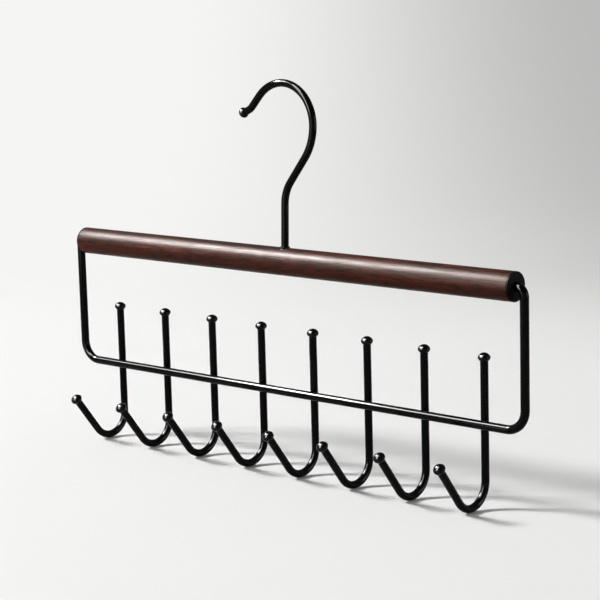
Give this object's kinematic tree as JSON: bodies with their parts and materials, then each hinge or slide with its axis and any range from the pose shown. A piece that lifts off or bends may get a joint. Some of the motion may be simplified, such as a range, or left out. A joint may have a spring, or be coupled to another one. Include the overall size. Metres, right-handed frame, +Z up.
{
  "type": "tie hanger",
  "caption": "Round dark wooden bar on a swivelling wire hook, with a swinging wire frame below it that carries a row of ball-tipped wire hooks for ties.",
  "frame": {"origin": "inside top of the top hook's crook, where the closet rail bears", "axes": "+Z up, +X along the bar to the side away from the crook's mouth, -Y to the side where the tie hooks open"},
  "size_m": [0.3566, 0.0462, 0.2313],
  "materials": {
    "walnut_wood": "satin",
    "black_paint": "gloss",
    "ball_plastic": "gloss",
    "cap_plastic": "satin",
    "bush_plastic": "satin",
    "plated_steel": "satin"
  },
  "bodies": {
    "hook": {"top_hook": "black_paint", "top_hook_ball": "ball_plastic", "stop_collar": "black_paint", "retaining_washer": "plated_steel", "lock_nut": "plated_steel"},
    "bar": {"wooden_bar": "walnut_wood", "bore_plug": "walnut_wood", "end_cap_left": "cap_plastic", "end_cap_right": "cap_plastic", "stem_bush": "bush_plastic"},
    "frame": {"wire_frame": "black_paint", "tie_hook_1": "black_paint", "tie_hook_1_top_ball": "ball_plastic", "tie_hook_1_tip_ball": "ball_plastic", "tie_hook_2": "black_paint", "tie_hook_2_top_ball": "ball_plastic", "tie_hook_2_tip_ball": "ball_plastic", "tie_hook_3": "black_paint", "tie_hook_3_top_ball": "ball_plastic", "tie_hook_3_tip_ball": "ball_plastic", "tie_hook_4": "black_paint", "tie_hook_4_top_ball": "ball_plastic", "tie_hook_4_tip_ball": "ball_plastic", "tie_hook_5": "black_paint", "tie_hook_5_top_ball": "ball_plastic", "tie_hook_5_tip_ball": "ball_plastic", "tie_hook_6": "black_paint", "tie_hook_6_top_ball": "ball_plastic", "tie_hook_6_tip_ball": "ball_plastic", "tie_hook_7": "black_paint", "tie_hook_7_top_ball": "ball_plastic", "tie_hook_7_tip_ball": "ball_plastic", "tie_hook_8": "black_paint", "tie_hook_8_top_ball": "ball_plastic", "tie_hook_8_tip_ball": "ball_plastic"}
  },
  "joints": [
    {"name": "hook_swivel", "type": "hinge", "parent": "hook", "child": "bar", "pos_m": [0.0025, 0, -0.10145], "axis": [0, 0, 1], "continuous": true},
    {"name": "frame_swing", "type": "hinge", "parent": "bar", "child": "frame", "pos_m": [-0.002, 0, -0.10145], "axis": [1, 0, 0], "range_deg": [-135, 135]}
  ]
}
